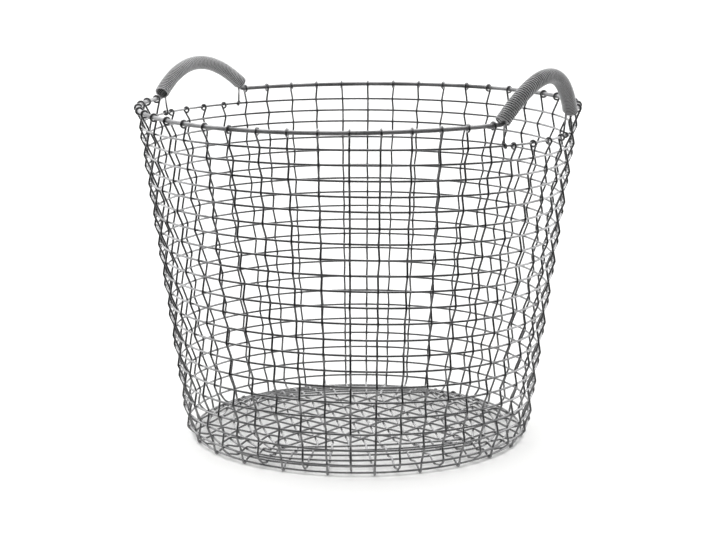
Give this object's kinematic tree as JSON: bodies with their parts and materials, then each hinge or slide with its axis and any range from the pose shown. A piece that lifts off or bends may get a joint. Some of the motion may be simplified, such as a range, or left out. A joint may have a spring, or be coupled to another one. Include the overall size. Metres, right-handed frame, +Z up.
{
  "type": "wire basket",
  "caption": "Round tapered storage basket woven from bare steel wire, with a pushed-up mesh base and two arched handles in wound wire grips",
  "frame": {"origin": "on the floor, in the middle of the basket, under the middle of its bounding box", "axes": "+Z up along the axis of the basket; +X to the higher handle; +Y completes the right-handed frame"},
  "size_m": [0.513, 0.511, 0.4371],
  "materials": {
    "wire": "bare drawn wire, dull grey with bright highlights",
    "rim": "bare drawn rod, dull grey with a soft highlight",
    "grip": "close winding of thin bare wire, lighter grey"
  },
  "bodies": {
    "root": {"weft_wire_01": "wire", "weft_wire_02": "wire", "weft_wire_03": "wire", "weft_wire_04": "wire", "weft_wire_05": "wire", "weft_wire_06": "wire", "weft_wire_07": "wire", "weft_wire_08": "wire", "weft_wire_09": "wire", "weft_wire_10": "wire", "weft_wire_11": "wire", "weft_wire_12": "wire", "warp_wire_01": "wire", "warp_wire_02": "wire", "warp_wire_03": "wire", "warp_wire_04": "wire", "warp_wire_05": "wire", "warp_wire_06": "wire", "warp_wire_07": "wire", "warp_wire_08": "wire", "warp_wire_09": "wire", "warp_wire_10": "wire", "warp_wire_11": "wire", "warp_wire_12": "wire", "wall_hoop_01": "wire", "wall_hoop_02": "wire", "wall_hoop_03": "wire", "wall_hoop_04": "wire", "wall_hoop_05": "wire", "wall_hoop_06": "wire", "wall_hoop_07": "wire", "wall_hoop_08": "wire", "wall_hoop_09": "wire", "wall_hoop_10": "wire", "wall_hoop_11": "wire", "wall_hoop_12": "wire", "wall_hoop_13": "wire", "wall_hoop_14": "wire", "wall_hoop_15": "wire", "wall_hoop_16": "wire", "wall_hoop_17": "wire", "wall_hoop_18": "wire", "wall_hoop_19": "wire", "wall_hoop_20": "wire", "wall_hoop_21": "wire", "bottom_hoop": "wire", "base_ring_1": "wire", "base_ring_2": "wire", "base_ring_3": "wire", "base_ring_4": "wire", "base_ring_5": "wire", "rim_rod": "rim", "handle_grip_right": "grip", "handle_grip_left": "grip"}
  },
  "joints": []
}
